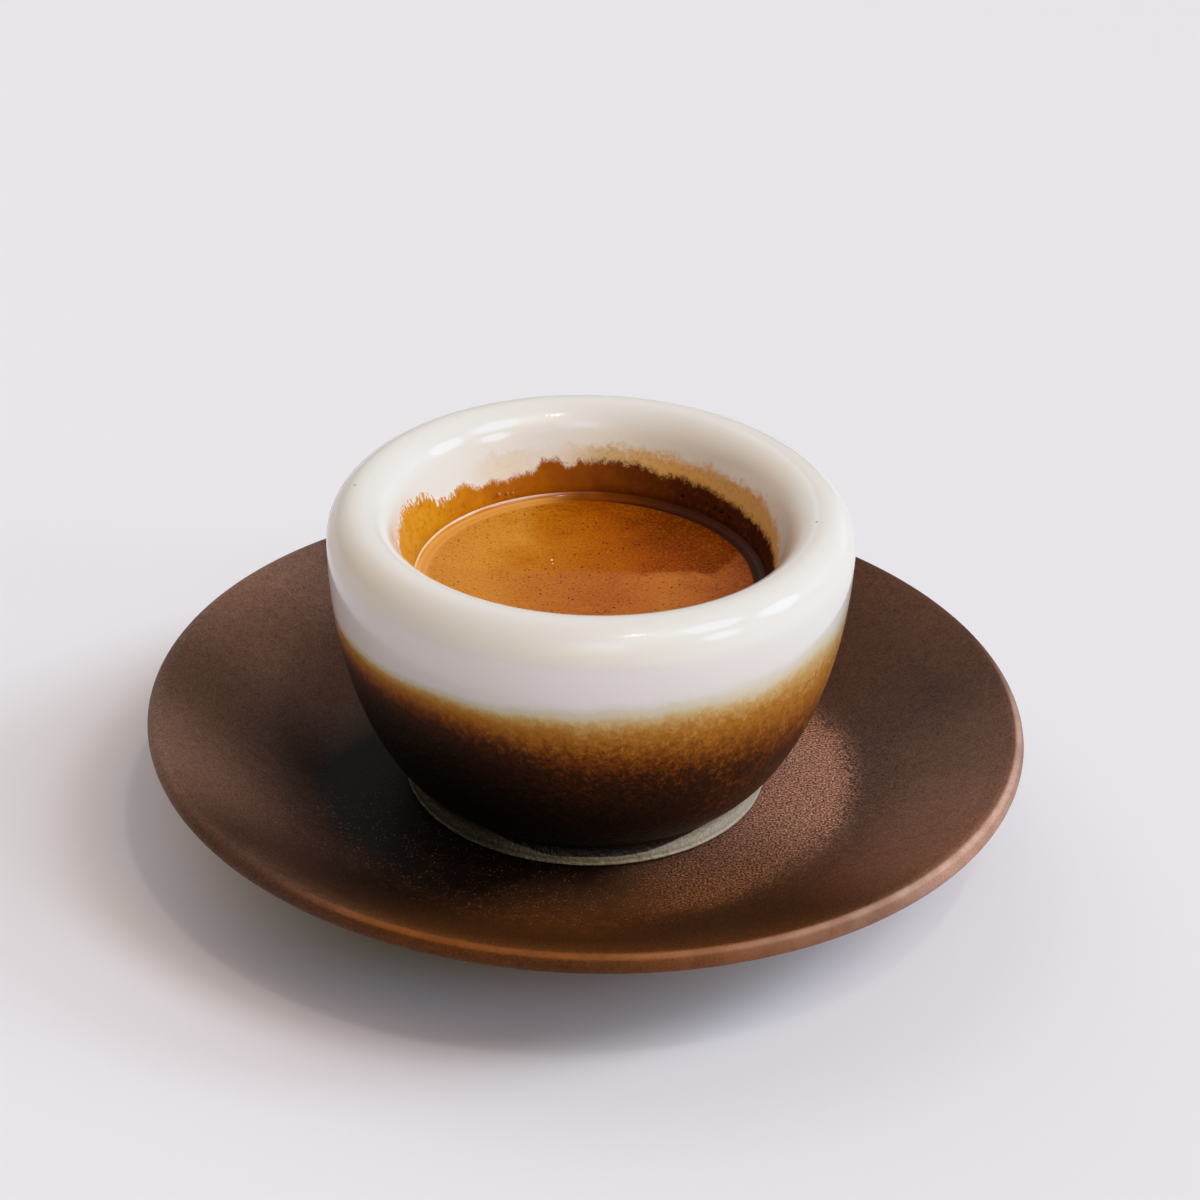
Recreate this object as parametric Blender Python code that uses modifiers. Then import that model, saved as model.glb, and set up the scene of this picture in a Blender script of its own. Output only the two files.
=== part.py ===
"""Espresso shot in a thick-rimmed stoneware cup, standing on its saucer.

Everything is turned about +Z. Lengths are in metres, and the origin is the
centre of the saucer's foot ring, on the surface that the saucer stands on.
"""
import math

import bpy

COLLECTION_NAME = "espresso_shot"

# Turning
DISH_STEPS = 96
CUP_STEPS = 72
MERGE_DISTANCE = 0.00005
CONTACT_GAP = 0.0003

# Saucer: a flat well, a straight flank and a rounded rim on a low foot ring
SAUCER_RADIUS = 0.0600
SAUCER_RIM_ROUND = 0.0015
WELL_HEIGHT = 0.0090
WELL_RADIUS = 0.0350
WELL_BLEND_RADIUS = 0.0120
FLANK_ANGLE = math.radians(28.0)
UNDERSIDE_ANGLE = math.radians(31.0)
DISH_FOOT_OUTER = 0.0360
DISH_FOOT_INNER = 0.0322
DISH_FOOT_ROUND = 0.0006
DISH_FOOT_COVE = 0.0016
DISH_RECESS_HEIGHT = 0.0036

# Cup, with heights counted from the bottom of its foot
CUP_RADIUS = 0.03535
BEAD_START_HEIGHT = 0.0367
BEAD_ARCS = (
    (0.00524, 0.0, 60.0, 5),
    (0.00348, 60.0, 120.0, 5),
    (0.00600, 120.0, 159.5, 3),
)
BELLY_FOOT_RADIUS = 0.02422
BELLY_FOOT_HEIGHT = 0.00292
BELLY_FOOT_ANGLE = math.radians(36.0)
BELLY_FOOT_PULL = 0.00726
BELLY_TOP_PULL = 0.01508
BELLY_POINTS = 9
CUP_FOOT_RADIUS = 0.0246
CUP_FOOT_INNER = 0.0200
CUP_FOOT_NECK_RADIUS = 0.0237
CUP_FOOT_NECK_HEIGHT = 0.0019
CUP_FOOT_CHAMFER = 0.0005
CUP_RECESS_HEIGHT = 0.0030

# Inside of the cup, and the shot that fills it to its level
LEVEL_HEIGHT = 0.0297
LEVEL_RADIUS = 0.02348
BOWL_HEIGHT = 0.0075
BOWL_CENTRE_PULL = 0.0180
BOWL_WALL_PULL = 0.0130
BOWL_POINTS = 9

# Colours, roughness
SAUCER_FINISH = ("saucer_brown_glaze", (0.060, 0.033, 0.022), 0.55)
CUP_FINISH = ("cup_white_glaze", (0.800, 0.760, 0.690), 0.18)
ESPRESSO_FINISH = ("espresso_crema", (0.420, 0.140, 0.025), 0.25)


def finish(name, colour, roughness):
    """A plain glazed or wet surface of one colour."""
    material = bpy.data.materials.new(name)
    material.use_nodes = True
    shader = material.node_tree.nodes["Principled BSDF"]
    shader.inputs["Base Color"].default_value = (*colour, 1.0)
    shader.inputs["Roughness"].default_value = roughness
    shader.inputs["Metallic"].default_value = 0.0
    material.diffuse_color = (*colour, 1.0)
    return material


def arc(centre, radius, start_degrees, end_degrees, count):
    """Points on a circular arc, both ends included."""
    points = []
    for i in range(count + 1):
        angle = math.radians(start_degrees + (end_degrees - start_degrees) * i / count)
        points.append((centre[0] + radius * math.cos(angle), centre[1] + radius * math.sin(angle)))
    return points


def arc_chain(start, arcs):
    """Tangent arcs that follow one another from the point start."""
    points = [start]
    for radius, start_degrees, end_degrees, count in arcs:
        angle = math.radians(start_degrees)
        x, z = points[-1]
        centre = (x - radius * math.cos(angle), z - radius * math.sin(angle))
        points += arc(centre, radius, start_degrees, end_degrees, count)[1:]
    return points


def bezier(p0, p1, p2, p3, count):
    """Points on a cubic curve, both ends included."""
    points = []
    for i in range(count + 1):
        t = i / count
        s = 1.0 - t
        weights = (s * s * s, 3.0 * s * s * t, 3.0 * s * t * t, t * t * t)
        x = sum(w * p[0] for w, p in zip(weights, (p0, p1, p2, p3)))
        z = sum(w * p[1] for w, p in zip(weights, (p0, p1, p2, p3)))
        points.append((x, z))
    return points


def raised(points, height):
    """The same outline, lifted by height."""
    return [(x, z + height) for x, z in points]


def inset(points, distance):
    """An open outline moved sideways, towards the axis and up, by distance."""
    moved = []
    for i, (x, z) in enumerate(points):
        before = points[max(i - 1, 0)]
        after = points[min(i + 1, len(points) - 1)]
        run = after[0] - before[0]
        rise = after[1] - before[1]
        length = math.hypot(run, rise)
        moved.append((max(x - distance * rise / length, 0.0), z + distance * run / length))
    return moved


def turned(name, outline, steps, material, collection):
    """A solid of revolution: outline runs from the top's centre, down the outer side, to the axis."""
    mesh = bpy.data.meshes.new(name)
    edges = [(i, i + 1) for i in range(len(outline) - 1)]
    mesh.from_pydata([(x, 0.0, z) for x, z in outline], edges, [])
    piece = bpy.data.objects.new(name, mesh)
    collection.objects.link(piece)
    screw = piece.modifiers.new("Turn", "SCREW")
    screw.axis = "Z"
    screw.angle = 2.0 * math.pi
    screw.steps = steps
    screw.render_steps = steps
    screw.use_merge_vertices = True
    screw.merge_threshold = MERGE_DISTANCE
    screw.use_smooth_shade = True
    mesh.materials.append(material)
    return piece


def saucer_outline():
    """The dish from the middle of its well, over the rim, to the middle of its recess."""
    blend_centre = (WELL_RADIUS, WELL_HEIGHT + WELL_BLEND_RADIUS)
    flank_degrees = math.degrees(FLANK_ANGLE)
    blend = arc(blend_centre, WELL_BLEND_RADIUS, -90.0, -90.0 + flank_degrees, 4)
    rim_x = SAUCER_RADIUS - SAUCER_RIM_ROUND
    flank_end_x = rim_x - SAUCER_RIM_ROUND * math.sin(FLANK_ANGLE)
    flank_end_z = blend[-1][1] + (flank_end_x - blend[-1][0]) * math.tan(FLANK_ANGLE)
    rim_z = flank_end_z - SAUCER_RIM_ROUND * math.cos(FLANK_ANGLE)
    under_degrees = math.degrees(UNDERSIDE_ANGLE)
    rim = arc((rim_x, rim_z), SAUCER_RIM_ROUND, 90.0 + flank_degrees, -90.0 + under_degrees, 7)
    under_x = DISH_FOOT_OUTER + DISH_FOOT_COVE
    under_z = rim[-1][1] - (rim[-1][0] - under_x) * math.tan(UNDERSIDE_ANGLE)
    foot = [
        (under_x, under_z),
        (DISH_FOOT_OUTER, under_z - DISH_FOOT_COVE),
        (DISH_FOOT_OUTER, DISH_FOOT_ROUND),
        (DISH_FOOT_OUTER - DISH_FOOT_ROUND, 0.0),
        (DISH_FOOT_INNER + DISH_FOOT_ROUND, 0.0),
        (DISH_FOOT_INNER, DISH_FOOT_ROUND),
        (DISH_FOOT_INNER, DISH_RECESS_HEIGHT - DISH_FOOT_ROUND),
        (DISH_FOOT_INNER - DISH_FOOT_ROUND, DISH_RECESS_HEIGHT),
    ]
    return [(0.0, WELL_HEIGHT)] + blend + rim + foot + [(0.0, DISH_RECESS_HEIGHT)]


def bowl_curve():
    """The cup's inner wall from the middle of its floor up to the shot's level."""
    bead = arc_chain((CUP_RADIUS, BEAD_START_HEIGHT), BEAD_ARCS)
    wall_run = bead[-1][0] - LEVEL_RADIUS
    wall_rise = bead[-1][1] - LEVEL_HEIGHT
    pull = BOWL_WALL_PULL / math.hypot(wall_run, wall_rise)
    return bezier(
        (0.0, BOWL_HEIGHT),
        (BOWL_CENTRE_PULL, BOWL_HEIGHT),
        (LEVEL_RADIUS - wall_run * pull, LEVEL_HEIGHT - wall_rise * pull),
        (LEVEL_RADIUS, LEVEL_HEIGHT),
        BOWL_POINTS,
    )


def cup_outline():
    """The cup from the middle of its floor, over the bead of its rim, to the middle of its recess."""
    bead = arc_chain((CUP_RADIUS, BEAD_START_HEIGHT), BEAD_ARCS)
    belly = bezier(
        (BELLY_FOOT_RADIUS, BELLY_FOOT_HEIGHT),
        (
            BELLY_FOOT_RADIUS + BELLY_FOOT_PULL * math.cos(BELLY_FOOT_ANGLE),
            BELLY_FOOT_HEIGHT + BELLY_FOOT_PULL * math.sin(BELLY_FOOT_ANGLE),
        ),
        (CUP_RADIUS, BEAD_START_HEIGHT - BELLY_TOP_PULL),
        (CUP_RADIUS, BEAD_START_HEIGHT),
        BELLY_POINTS,
    )
    foot = [
        (CUP_FOOT_NECK_RADIUS, CUP_FOOT_NECK_HEIGHT),
        (CUP_FOOT_RADIUS, CUP_FOOT_CHAMFER),
        (CUP_FOOT_RADIUS - CUP_FOOT_CHAMFER, 0.0),
        (CUP_FOOT_INNER + CUP_FOOT_CHAMFER, 0.0),
        (CUP_FOOT_INNER, CUP_FOOT_CHAMFER),
        (CUP_FOOT_INNER - CUP_FOOT_CHAMFER, CUP_RECESS_HEIGHT),
        (0.0, CUP_RECESS_HEIGHT),
    ]
    return bowl_curve() + bead[::-1] + belly[::-1][1:] + foot


def espresso_outline():
    """The drink: its level surface, then the bowl's wall less the contact gap."""
    wall = inset(bowl_curve(), CONTACT_GAP)
    return [(0.0, LEVEL_HEIGHT)] + wall[:0:-1] + [(0.0, BOWL_HEIGHT + CONTACT_GAP)]


def build():
    """Clears the scene and models the saucer, the cup and the shot."""
    for old in list(bpy.data.objects):
        bpy.data.objects.remove(old, do_unlink=True)
    collection = bpy.data.collections.new(COLLECTION_NAME)
    bpy.context.scene.collection.children.link(collection)
    cup_height = WELL_HEIGHT + CONTACT_GAP
    turned("saucer", saucer_outline(), DISH_STEPS, finish(*SAUCER_FINISH), collection)
    turned("cup", raised(cup_outline(), cup_height), CUP_STEPS, finish(*CUP_FINISH), collection)
    turned("espresso", raised(espresso_outline(), cup_height), CUP_STEPS, finish(*ESPRESSO_FINISH), collection)


build()
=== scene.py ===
"""Looks of an espresso shot in a thick-rimmed two-tone stoneware cup on its brown saucer.

Profiles are in millimetres, as (radius, height). The cup's heights are counted
from the bottom of its foot. A finished piece is in metres, in the model's frame.
"""
import math

import bpy
from mathutils import Matrix, Vector, noise


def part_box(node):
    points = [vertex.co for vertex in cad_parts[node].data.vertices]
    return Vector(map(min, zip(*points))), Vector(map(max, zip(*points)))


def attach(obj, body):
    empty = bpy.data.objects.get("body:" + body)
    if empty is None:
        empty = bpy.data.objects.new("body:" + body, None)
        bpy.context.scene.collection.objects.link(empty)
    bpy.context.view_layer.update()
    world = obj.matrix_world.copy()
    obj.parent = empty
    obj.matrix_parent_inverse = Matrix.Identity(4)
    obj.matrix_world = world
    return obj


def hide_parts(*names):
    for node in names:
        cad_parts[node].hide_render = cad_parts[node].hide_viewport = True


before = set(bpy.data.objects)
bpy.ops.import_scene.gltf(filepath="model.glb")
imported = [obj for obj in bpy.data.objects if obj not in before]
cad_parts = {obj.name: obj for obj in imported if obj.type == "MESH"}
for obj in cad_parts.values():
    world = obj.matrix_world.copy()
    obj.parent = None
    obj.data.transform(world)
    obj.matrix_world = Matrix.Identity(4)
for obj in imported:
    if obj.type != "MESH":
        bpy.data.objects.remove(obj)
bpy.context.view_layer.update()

MM = 0.001

# Saucer, in millimetres
SAUCER_SIDES = 128
SAUCER_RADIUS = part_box("saucer")[1].x / MM
SAUCER_RIM_ROUND = 1.5
RIM_STEPS = 14
WELL_HEIGHT = 9.0
WELL_RADIUS = 35.0
WELL_RINGS = (28.0, 18.0, 9.0)
WELL_BLEND_RADIUS = 12.0
FLANK_DEGREES = 28.0
UNDERSIDE_DEGREES = 31.0
FLANK_STEPS = 8
DISH_FOOT_OUTER = 36.0
DISH_FOOT_INNER = 32.2
DISH_FOOT_ROUND = 0.6
DISH_FOOT_COVE = 1.6
DISH_RECESS_HEIGHT = 3.6
DISH_RECESS_START = 16.0
LEAN_START_RADIUS = 36.0
LEAN_DROP = 0.58

# Cup, in millimetres from the bottom of its foot
CUP_SIDES = 96
CUP_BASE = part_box("cup")[0].z / MM
CUP_RADIUS = 35.35
BEAD_START = 36.7
BEAD_ARCS = ((5.24, 0.0, 60.0, 10), (3.48, 60.0, 120.0, 8), (6.0, 120.0, 159.5, 6))
# From the middle of its recess, round the foot and up the shallow neck above it
CUP_FOOT = (
    (10.0, 3.0), (18.6, 3.0), (19.4, 2.8), (19.8, 2.2), (20.0, 0.6), (20.2, 0.2), (20.7, 0.0),
    (22.3, 0.0), (24.2, 0.0), (24.6, 0.1), (24.78, 0.3), (24.8, 0.46), (24.62, 0.58),
    (24.56, 0.74), (24.56, 0.92), (24.52, 1.15), (24.38, 1.4), (24.24, 1.7), (24.14, 2.0),
    (24.1, 2.35), (24.14, 2.65),
)
BELLY_START = (24.22, 2.92)
BELLY_PULL = (5.874, 4.267)
BELLY_TOP_PULL = 15.08
BELLY_RINGS = 24
BOWL_FLOOR = 7.5
BOWL_CENTRE_PULL = 18.0
BOWL_WALL_PULL = 13.0
BOWL_RINGS = 14
WALL_RINGS = 6

# The shot, in millimetres: its level, and its profile as steps (outwards, up) from there
LEVEL = 29.7
LEVEL_RADIUS = 23.48
DRINK_GAP = 0.3
DRINK_POLE = 2.0
DRINK_LIP = ((-0.25, -0.9), (-0.5, -0.45))
CREASE_RADIUS = 22.45
CREMA_RISE = 0.18
CREMA_EDGE = (
    (0.4, -0.25), (0.3, -0.08), (0.15, 0.04), (-0.05, 0.11), (-0.4, 0.17), (-1.2, CREMA_RISE), (-2.4, 0.15),
)
CREMA_MIDDLE = ((17.0, 0.1), (12.0, 0.05), (7.0, 0.02))

# Its wet edge: how high it climbs the wall, within what reach, and the part of that cut off at its foot
WET_START = ((-0.45, -0.1), (-0.36, 0.12), (-0.2, 0.175), (0.3, CREMA_RISE))
CLIMB = 1.9
CLIMB_REACH = 0.75
CLIMB_REST = 0.12
CLIMB_STEPS = (1.2, 0.95, 0.75, 0.58, 0.43, 0.3, 0.18, 0.08)
WET_BACK = ((0.03, CLIMB), (0.0, 0.7 * CLIMB), (-0.25, 0.35), (-0.7, -0.25))
MERGE_DISTANCE = 0.01

# The coat of coffee left on the wall: its ragged top edge as (azimuth, height above the level)
COAT_SIDES = 900
COAT_CUTS = (0.35, 0.6, 0.8, 0.92)
COAT_THICKNESS = 0.07
COAT_THINNING = 0.9
COAT_WALL = 0.2
COAT_EDGE = (
    (2, 3.4), (16, 3.6), (31, 3.7), (44, 4.0), (52, 4.2), (58, 4.4), (64, 4.4), (66, 4.0), (70, 4.4),
    (76, 4.8), (82, 5.1), (88, 5.0), (95, 4.8), (97.5, 4.2), (99.5, 4.4), (101.5, 5.4), (104, 5.2),
    (106.5, 5.4), (109, 4.1), (115, 3.7), (121, 3.4), (125, 3.8), (130, 3.4), (133, 4.0),
    (135.5, 4.8), (139, 4.4), (143, 3.9), (148, 4.2), (150, 5.0), (153, 6.3), (160, 6.5),
    (164, 6.9), (167, 7.2), (171, 6.8), (176, 6.6), (190, 5.8), (210, 4.6), (240, 3.8), (290, 3.4),
    (340, 3.2), (362, 3.4),
)
# Its mesh goes on past that edge, and a map holds how far each point lies below the mesh's own top
COAT_MARGIN = 1.0
COAT_MAP = "below_the_edge"
# How the edge strays: patterns for each millimetre, and reach
WAVES = (0.9, 0.3)
HAIRS = (3.0, 0.6)
HAIRS_LAYER = 20.0
HAIRS_FROM = 16.0
HAIRS_FULL = 23.0

# Bubbles: place across and back, height above the level, and radius
BUBBLES = (
    (-13.2, 20.3, 1.9, 0.34), (-12.0, 20.9, 1.75, 0.26), (-11.2, 21.2, 1.65, 0.2),
    (12.6, 20.8, 2.3, 0.26), (16.0, 18.6, 2.4, 0.2), (17.1, 17.4, 2.4, 0.26), (17.9, 16.4, 2.3, 0.3),
    (19.0, 15.2, 2.2, 0.24), (-5.3, 5.2, 0.02, 0.16), (-5.15, 4.2, 0.02, 0.11),
)
BUBBLE_SIDES = 20
BUBBLE_RINGS = 12
# Those beyond this radius are moved in to stand this far off the wall
ON_THE_WALL = 19.45
BUBBLE_STAND = 0.12

# Camera, and the point over the dish's centre that falls on its own pixel of the picture
PICTURE_SIDE = 1200
SENSOR_WIDTH = 36.0
FOCAL_PIXELS = 3500
AIM_HEIGHT = 0.01825
AIM_PIXEL = (586.7, 711.5)
CAMERA_DISTANCE = 0.4813
CAMERA_ELEVATION = math.radians(29.88)
CAMERA_ROLL = math.radians(1.58)
CAMERA_NEAR = 0.01
CAMERA_FAR = 50.0

# Soft light of the room: azimuth from +Y towards +X, elevation, focus, and colour with strength
ROOM_LOBES = (
    (133.0, 59.0, 37.0, (4.60, 3.70, 2.50)),
    (172.0, 40.0, 60.0, (2.60, 3.40, 5.00)),
    (39.0, 3.0, 49.0, (2.00, 2.35, 1.65)),
    (63.0, 21.0, 49.0, (2.80, 2.50, 2.30)),
    (328.0, 51.0, 6.3, (0.74, 0.70, 0.80)),
    (300.0, 35.0, 12.0, (0.65, 0.30, 0.08)),
    (330.0, 20.0, 12.0, (0.80, 1.00, 0.90)),
    (185.0, 17.0, 18.0, (1.50, 1.20, 0.40)),
)
# Windows at the right: azimuth, elevation, half width in degrees, and colour with strength
WINDOWS = (
    (121.0, 25.0, 8.1, (8.9, 8.1, 9.5)),
    (110.0, 50.0, 10.5, (6.9, 7.9, 9.3)),
    (85.0, 30.0, 10.5, (8.1, 9.8, 11.8)),
)
WINDOW_EDGE = 0.3
# A small far lamp
LAMP_AZIMUTH = 146.0
LAMP_ELEVATION = 66.0
LAMP_STRENGTH = 0.2
LAMP_WIDTH = math.radians(3.0)

# Table
TABLE_SIDE = 8.0
TABLE_COLOUR = (0.815, 0.79, 0.82, 1.0)
TABLE_ROUGHNESS = 0.6

# Brightness in the room against brightness in the picture, on the curve for all three colours
TONE_CURVE = 3
TONE_POINTS = ((1.0, 0.865), (0.35, 0.35), (0.7, 0.7), (0.8, 0.785))


def shade(red, green, blue):
    """A colour as a screen shows it, 0 to 255, as linear values for a shader."""
    values = []
    for level in (red, green, blue):
        part = level / 255.0
        values.append(part / 12.92 if part <= 0.04045 else ((part + 0.055) / 1.055) ** 2.4)
    return (*values, 1.0)


def arc(centre, radius, start, end, count):
    """Points on a circular arc from start to end degrees, both ends included."""
    points = []
    for i in range(count + 1):
        angle = math.radians(start + (end - start) * i / count)
        points.append((centre[0] + radius * math.cos(angle), centre[1] + radius * math.sin(angle)))
    return points


def arc_chain(start, arcs):
    """Tangent arcs that follow one another from the point start."""
    points = [start]
    for radius, begin, end, count in arcs:
        angle = math.radians(begin)
        x, z = points[-1]
        centre = (x - radius * math.cos(angle), z - radius * math.sin(angle))
        points += arc(centre, radius, begin, end, count)[1:]
    return points


def bezier(p0, p1, p2, p3, count):
    """Points on a cubic curve, both ends included."""
    points = []
    for i in range(count + 1):
        t = i / count
        s = 1.0 - t
        weights = (s * s * s, 3.0 * s * s * t, 3.0 * s * t * t, t * t * t)
        points.append(tuple(sum(w * p[k] for w, p in zip(weights, (p0, p1, p2, p3))) for k in (0, 1)))
    return points


def between(start, end, count):
    """Points on a straight run, both ends included."""
    points = []
    for i in range(count + 1):
        t = i / count
        points.append((start[0] + (end[0] - start[0]) * t, start[1] + (end[1] - start[1]) * t))
    return points


def stepped(radius, height, steps):
    """Points given as steps outwards from a radius and up from a height."""
    return [(radius + out, height + up) for out, up in steps]


def smoothstep(value, low, high):
    """Goes softly from 0 to 1 as value goes from low to high."""
    t = min(max((value - low) / (high - low), 0.0), 1.0)
    return t * t * (3.0 - 2.0 * t)


def throw(name, rings, sides, lift=0.0, lean=None, hoop=False):
    """Raises a round piece ring by ring, as on a wheel.

    rings are (radius, height) in millimetres, from one pole to the other, or, for a
    hoop, once round its section. lean(radius) is a ring's slope, in radians about Y.
    """
    bpy.ops.object.select_all(action="DESELECT")
    radius, height = rings[0]
    fill = "NOTHING" if hoop else "TRIFAN"
    place = (0.0, 0.0, (height + lift) * MM)
    bpy.ops.mesh.primitive_circle_add(vertices=sides, radius=radius * MM, fill_type=fill, location=place)
    piece = bpy.context.object
    piece.name = piece.data.name = name
    bpy.ops.object.transform_apply(location=True)
    bpy.ops.object.mode_set(mode="EDIT")
    bpy.ops.mesh.select_all(action="SELECT")
    slope = 0.0
    for next_radius, next_height in rings[1:]:
        rise = (next_height - height) * MM
        bpy.ops.mesh.extrude_region_move(TRANSFORM_OT_translate={"value": (0.0, 0.0, rise)})
        centre = (0.0, 0.0, (next_height + lift) * MM)
        grow = next_radius / radius
        bpy.ops.transform.resize(value=(grow, grow, grow), center_override=centre)
        turn = lean(next_radius) - slope if lean else 0.0
        if turn:
            bpy.ops.transform.rotate(value=-turn, orient_axis="Y", center_override=centre)
            slope += turn
        radius, height = next_radius, next_height
    bpy.ops.mesh.select_all(action="SELECT")
    if hoop:
        bpy.ops.mesh.remove_doubles(threshold=MERGE_DISTANCE * MM)
    bpy.ops.mesh.normals_make_consistent(inside=False)
    bpy.ops.object.mode_set(mode="OBJECT")
    return piece


def smooth(piece, levels=1):
    """Subdivides a piece for good and shades it smooth."""
    bpy.context.view_layer.objects.active = piece
    piece.select_set(True)
    soft = piece.modifiers.new("Smooth", "SUBSURF")
    soft.levels = soft.render_levels = levels
    bpy.ops.object.modifier_apply(modifier=soft.name)
    bpy.ops.object.shade_smooth()
    return piece


def dress(piece, finish, slot, *nodes):
    """Gives a piece its finish and its place on the model."""
    piece.data.materials.clear()
    piece.data.materials.append(finish)
    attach(piece, "root")
    if nodes:
        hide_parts(*nodes)
    return piece


# Profiles


def saucer_rings():
    """The dish from the middle of its recess, round the rim, to the middle of its well."""
    blend_centre = (WELL_RADIUS, WELL_HEIGHT + WELL_BLEND_RADIUS)
    blend = arc(blend_centre, WELL_BLEND_RADIUS, -90.0, -90.0 + FLANK_DEGREES, FLANK_STEPS)
    flank = math.radians(FLANK_DEGREES)
    rim_x = SAUCER_RADIUS - SAUCER_RIM_ROUND
    flank_x = rim_x - SAUCER_RIM_ROUND * math.sin(flank)
    flank_z = blend[-1][1] + (flank_x - blend[-1][0]) * math.tan(flank)
    rim_z = flank_z - SAUCER_RIM_ROUND * math.cos(flank)
    rim_start, rim_end = -90.0 + UNDERSIDE_DEGREES, 90.0 + FLANK_DEGREES
    rim = arc((rim_x, rim_z), SAUCER_RIM_ROUND, rim_start, rim_end, RIM_STEPS)
    under_x = DISH_FOOT_OUTER + DISH_FOOT_COVE
    under_z = rim[0][1] - (rim[0][0] - under_x) * math.tan(math.radians(UNDERSIDE_DEGREES))
    recess = [
        (DISH_RECESS_START, DISH_RECESS_HEIGHT),
        (DISH_FOOT_INNER - 2.0 * DISH_FOOT_ROUND, DISH_RECESS_HEIGHT),
        (DISH_FOOT_INNER - DISH_FOOT_ROUND, DISH_RECESS_HEIGHT - DISH_FOOT_ROUND / 3.0),
        (DISH_FOOT_INNER, DISH_RECESS_HEIGHT - DISH_FOOT_ROUND),
        (DISH_FOOT_INNER, DISH_FOOT_ROUND),
        (DISH_FOOT_INNER + DISH_FOOT_ROUND, 0.0),
        (DISH_FOOT_OUTER - DISH_FOOT_ROUND, 0.0),
        (DISH_FOOT_OUTER, DISH_FOOT_ROUND),
        (DISH_FOOT_OUTER, under_z - DISH_FOOT_COVE),
        (DISH_FOOT_OUTER + 0.4 * DISH_FOOT_COVE, under_z - 0.4 * DISH_FOOT_COVE),
        (under_x, under_z),
    ]
    under = between(recess[-1], rim[0], FLANK_STEPS)
    upper = between(rim[-1], blend[-1], FLANK_STEPS)
    well = [(radius, WELL_HEIGHT) for radius in WELL_RINGS]
    return recess + under[1:-1] + rim + upper[1:-1] + blend[::-1] + well


def bead():
    """The rolled rim, from the outside over its crest to the top of the inner wall."""
    return arc_chain((CUP_RADIUS, BEAD_START), BEAD_ARCS)


def wall_slope():
    """How far the inner wall opens for each millimetre of height above the level."""
    top = bead()[-1]
    return (top[0] - LEVEL_RADIUS) / (top[1] - LEVEL)


def wall_radius(height):
    """The inner wall's radius at a height above the level."""
    return LEVEL_RADIUS + wall_slope() * height


def bowl():
    """The inside of the cup below the level, from the wall to the middle of its floor."""
    length = math.hypot(wall_slope(), 1.0)
    pull = (LEVEL_RADIUS - BOWL_WALL_PULL * wall_slope() / length, LEVEL - BOWL_WALL_PULL / length)
    return bezier((LEVEL_RADIUS, LEVEL), pull, (BOWL_CENTRE_PULL, BOWL_FLOOR), (0.0, BOWL_FLOOR), BOWL_RINGS)


def cup_rings():
    """The cup from the middle of its foot's recess, up its belly and over its rim, to its floor."""
    belly = bezier(
        BELLY_START,
        (BELLY_START[0] + BELLY_PULL[0], BELLY_START[1] + BELLY_PULL[1]),
        (CUP_RADIUS, BEAD_START - BELLY_TOP_PULL),
        (CUP_RADIUS, BEAD_START),
        BELLY_RINGS,
    )
    wall = between(bead()[-1], (LEVEL_RADIUS, LEVEL), WALL_RINGS)
    return list(CUP_FOOT) + belly + bead()[1:] + wall[1:-1] + bowl()[:-1]


def drink_rings():
    """The shot from the middle of its underside, up the bowl, to the middle of its crema."""
    under = [(max(r - DRINK_GAP, DRINK_POLE), z + DRINK_GAP) for r, z in bowl()[-2:0:-1]]
    lip = stepped(LEVEL_RADIUS, LEVEL, DRINK_LIP)
    edge = stepped(CREASE_RADIUS, LEVEL, CREMA_EDGE)
    return under + lip + edge + stepped(0.0, LEVEL, CREMA_MIDDLE)


def wet_rings():
    """The wet edge of the shot, from the crease round the crema up to the wall and back below."""
    contact = wall_radius(CLIMB)
    rings = stepped(CREASE_RADIUS, LEVEL, WET_START)
    for back in CLIMB_STEPS:
        climbed = CLIMB * (math.exp(-back / CLIMB_REACH) - CLIMB_REST)
        rings.append((contact - back, LEVEL + max(climbed, CREMA_RISE)))
    rings += stepped(contact, LEVEL, WET_BACK)
    return rings + rings[:1]


def coat_height(azimuth):
    """The top of the coffee coat above the level, at an azimuth in degrees."""
    turn = azimuth % 360.0
    if turn < COAT_EDGE[0][0]:
        turn += 360.0
    for (a, low), (b, high) in zip(COAT_EDGE, COAT_EDGE[1:]):
        if a <= turn <= b:
            return low + (high - low) * (turn - a) / (b - a)
    return COAT_EDGE[-1][1]


def fray(azimuth):
    """How far the coat's edge strays up or down, with hair-like streaks at the left."""
    x, y = LEVEL_RADIUS * math.cos(azimuth), LEVEL_RADIUS * math.sin(azimuth)
    waves = noise.noise(Vector((x, y, 0.0)) * WAVES[0])
    hairs = noise.noise(Vector((x, y, HAIRS_LAYER)) * HAIRS[0])
    return WAVES[1] * waves + HAIRS[1] * smoothstep(-x, HAIRS_FROM, HAIRS_FULL) * hairs


# Finishes

# Noise seldom goes past these values
NOISE_LOW = 0.3
NOISE_HIGH = 0.7
# How soft a dot's edge is, as a share of the spacing of dots
DOT_EDGE = 0.06


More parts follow.
